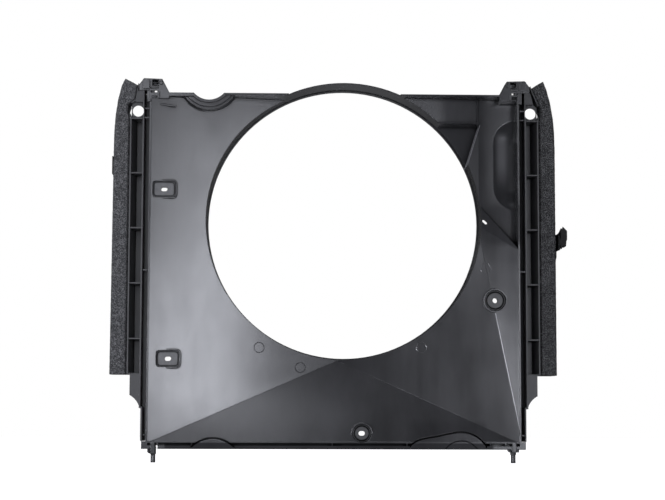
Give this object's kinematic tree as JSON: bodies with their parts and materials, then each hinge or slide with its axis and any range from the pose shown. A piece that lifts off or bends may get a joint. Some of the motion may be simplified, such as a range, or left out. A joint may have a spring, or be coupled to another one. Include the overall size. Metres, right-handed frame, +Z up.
{
  "type": "radiator fan shroud",
  "caption": "Moulded funnel with a deep round fan ring, clip-on side rails with foam seals, rubber isolators, locating pins and a hinged wiring clip.",
  "frame": {"origin": "On the fan axis, in the plane of the front rim that faces the radiator.", "axes": "+Z is up as installed, +Y points from the radiator towards the engine along the fan axis, +X is to the right seen from the radiator."},
  "size_m": [0.7852, 0.094, 0.6597],
  "materials": {
    "shroud_plastic": "satin black moulded plastic",
    "rail_plastic": "satin black moulded plastic",
    "foam": "dark grey speckled foam",
    "isolator_rubber": "matt black rubber",
    "spring_steel": "dark phosphated steel",
    "clip_plastic": "matt black plastic",
    "rivet_plastic": "dark grey plastic"
  },
  "bodies": {
    "shroud": {"shroud_panel": "shroud_plastic", "left_side_rail": "rail_plastic", "right_side_rail": "rail_plastic", "left_foam_seal": "foam", "right_foam_seal": "foam", "upper_left_isolator": "isolator_rubber", "lower_left_isolator": "isolator_rubber", "right_isolator": "isolator_rubber", "bottom_isolator": "isolator_rubber", "left_spring_clip": "spring_steel", "right_spring_clip": "spring_steel", "left_edge_clip": "clip_plastic", "harness_clip_base": "clip_plastic", "harness_clip_pin": "spring_steel", "harness_clip_rivet": "rivet_plastic"},
    "clip_cover": {"harness_clip_cover": "clip_plastic"}
  },
  "joints": [
    {"name": "clip_cover_hinge", "type": "hinge", "parent": "shroud", "child": "clip_cover", "pos_m": [0.371, 0.0104, -0.0365], "axis": [0, 0, -1], "range_deg": [0, 100]}
  ]
}
